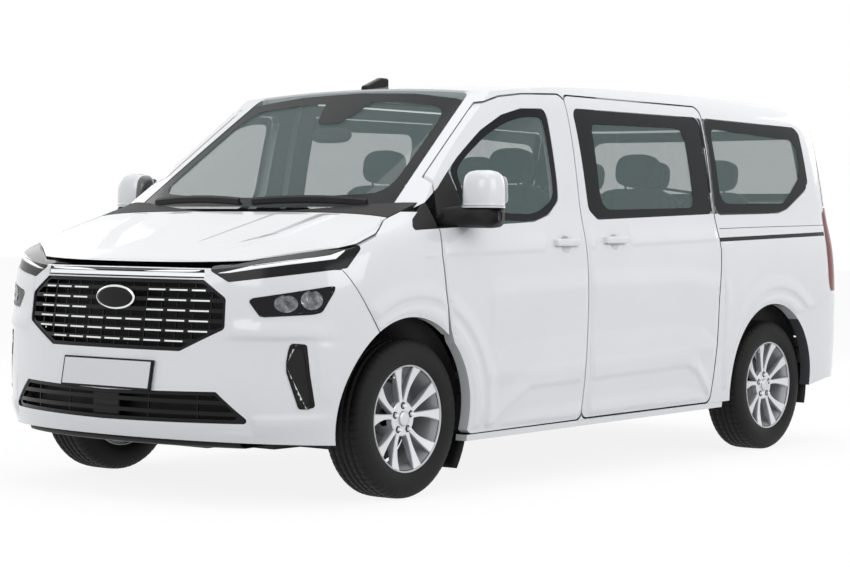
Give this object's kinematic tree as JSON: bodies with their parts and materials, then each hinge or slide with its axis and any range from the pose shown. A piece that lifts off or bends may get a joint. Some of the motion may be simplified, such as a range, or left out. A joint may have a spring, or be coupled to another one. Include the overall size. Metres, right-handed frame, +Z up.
{
  "type": "minibus",
  "caption": "Passenger van with sliding side doors, a short sloping bonnet, a segmented grille, tinted side windows and a top-hinged tailgate on spoked wheels.",
  "frame": {"origin": "on the ground, under the middle of the overall box", "axes": "+X towards the nose, +Y to the vehicle's left, +Z up"},
  "size_m": [4.913, 2.3398, 1.9042],
  "materials": {
    "body_paint": "cool white gloss paint",
    "glass": "green-grey tinted glass",
    "clear_lamp": "clear lamp cover",
    "satin_trim": "satin silver",
    "bright_metal": "bright bars",
    "black_plastic": "matt black",
    "red_lamp": "red lamp cover",
    "plate_metal": "blank white plate",
    "floor_metal": "dark coated steel",
    "seat_fabric": "dark grey cloth",
    "cast_metal": "dark cast metal",
    "exhaust_steel": "brushed steel",
    "tyre_rubber": "black rubber",
    "alloy": "machined silver"
  },
  "bodies": {
    "body": {"air_slots": "black_plastic", "antenna": "black_plastic", "body_side_left": "body_paint", "body_side_right": "body_paint", "cowl": "black_plastic", "dashboard": "black_plastic", "driver_seat": "seat_fabric", "engine_block": "cast_metal", "exhaust": "exhaust_steel", "floor": "floor_metal", "fog_lamps": "clear_lamp", "front_axle": "cast_metal", "front_bumper": "body_paint", "front_plate": "plate_metal", "front_wing_left": "body_paint", "front_wing_right": "body_paint", "fuel_tank": "black_plastic", "grille": "bright_metal", "headlamp_left": "clear_lamp", "headlamp_right": "clear_lamp", "light_bar": "satin_trim", "lower_grille": "black_plastic", "middle_seats": "seat_fabric", "passenger_seat": "seat_fabric", "pillar_trims": "black_plastic", "rear_axle": "cast_metal", "rear_bumper": "body_paint", "rear_seats": "seat_fabric", "roof": "body_paint", "side_glass_left": "glass", "side_glass_right": "glass", "sill_mouldings": "satin_trim", "slide_rails": "black_plastic", "sliding_door_left": "body_paint", "sliding_door_right": "body_paint", "steering_wheel": "black_plastic", "tail_lamps": "red_lamp", "wheel_liners": "black_plastic", "windscreen": "glass", "wipers": "black_plastic"},
    "knuckle_l": {"knuckle_left": "cast_metal"},
    "knuckle_r": {"knuckle_right": "cast_metal"},
    "wheel_fl": {"tyre_front_left": "tyre_rubber", "wheel_front_left": "alloy"},
    "wheel_fr": {"tyre_front_right": "tyre_rubber", "wheel_front_right": "alloy"},
    "wheel_rl": {"tyre_rear_left": "tyre_rubber", "wheel_rear_left": "alloy"},
    "wheel_rr": {"tyre_rear_right": "tyre_rubber", "wheel_rear_right": "alloy"},
    "door_l": {"front_door_left": "body_paint", "front_door_glass_left": "glass", "mirror_left": "black_plastic"},
    "door_r": {"front_door_right": "body_paint", "front_door_glass_right": "glass", "mirror_right": "black_plastic"},
    "bonnet_lid": {"bonnet": "body_paint"},
    "gate": {"tailgate": "body_paint", "tailgate_glass": "glass"}
  },
  "joints": [
    {"name": "steer_left", "type": "hinge", "parent": "body", "child": "knuckle_l", "pos_m": [1.58, 0.808, 0.345], "axis": [0, 0, 1], "range_deg": [-32, 32]},
    {"name": "steer_right", "type": "hinge", "parent": "body", "child": "knuckle_r", "pos_m": [1.58, -0.808, 0.345], "axis": [0, 0, 1], "range_deg": [-32, 32]},
    {"name": "spin_front_left", "type": "hinge", "parent": "knuckle_l", "child": "wheel_fl", "pos_m": [1.58, 0.868, 0.345], "axis": [0, 1, 0], "continuous": true},
    {"name": "spin_front_right", "type": "hinge", "parent": "knuckle_r", "child": "wheel_fr", "pos_m": [1.58, -0.868, 0.345], "axis": [0, 1, 0], "continuous": true},
    {"name": "spin_rear_left", "type": "hinge", "parent": "body", "child": "wheel_rl", "pos_m": [-1.52, 0.868, 0.345], "axis": [0, 1, 0], "continuous": true},
    {"name": "spin_rear_right", "type": "hinge", "parent": "body", "child": "wheel_rr", "pos_m": [-1.52, -0.868, 0.345], "axis": [0, 1, 0], "continuous": true},
    {"name": "front_door_left_hinge", "type": "hinge", "parent": "body", "child": "door_l", "pos_m": [1.363, 1.005, 0.8], "axis": [0, 0, -1], "range_deg": [0, 70]},
    {"name": "front_door_right_hinge", "type": "hinge", "parent": "body", "child": "door_r", "pos_m": [1.363, -1.005, 0.8], "axis": [0, 0, 1], "range_deg": [0, 70]},
    {"name": "bonnet_hinge", "type": "hinge", "parent": "body", "child": "bonnet_lid", "pos_m": [1.638, 0, 1.25], "axis": [0, -1, 0], "range_deg": [0, 55]},
    {"name": "tailgate_hinge", "type": "hinge", "parent": "body", "child": "gate", "pos_m": [-2.2, 0, 1.885], "axis": [0, 1, 0], "range_deg": [0, 85]}
  ],
  "couplings": [
    {"joint": "steer_right", "follows": "steer_left", "ratio": 1}
  ]
}
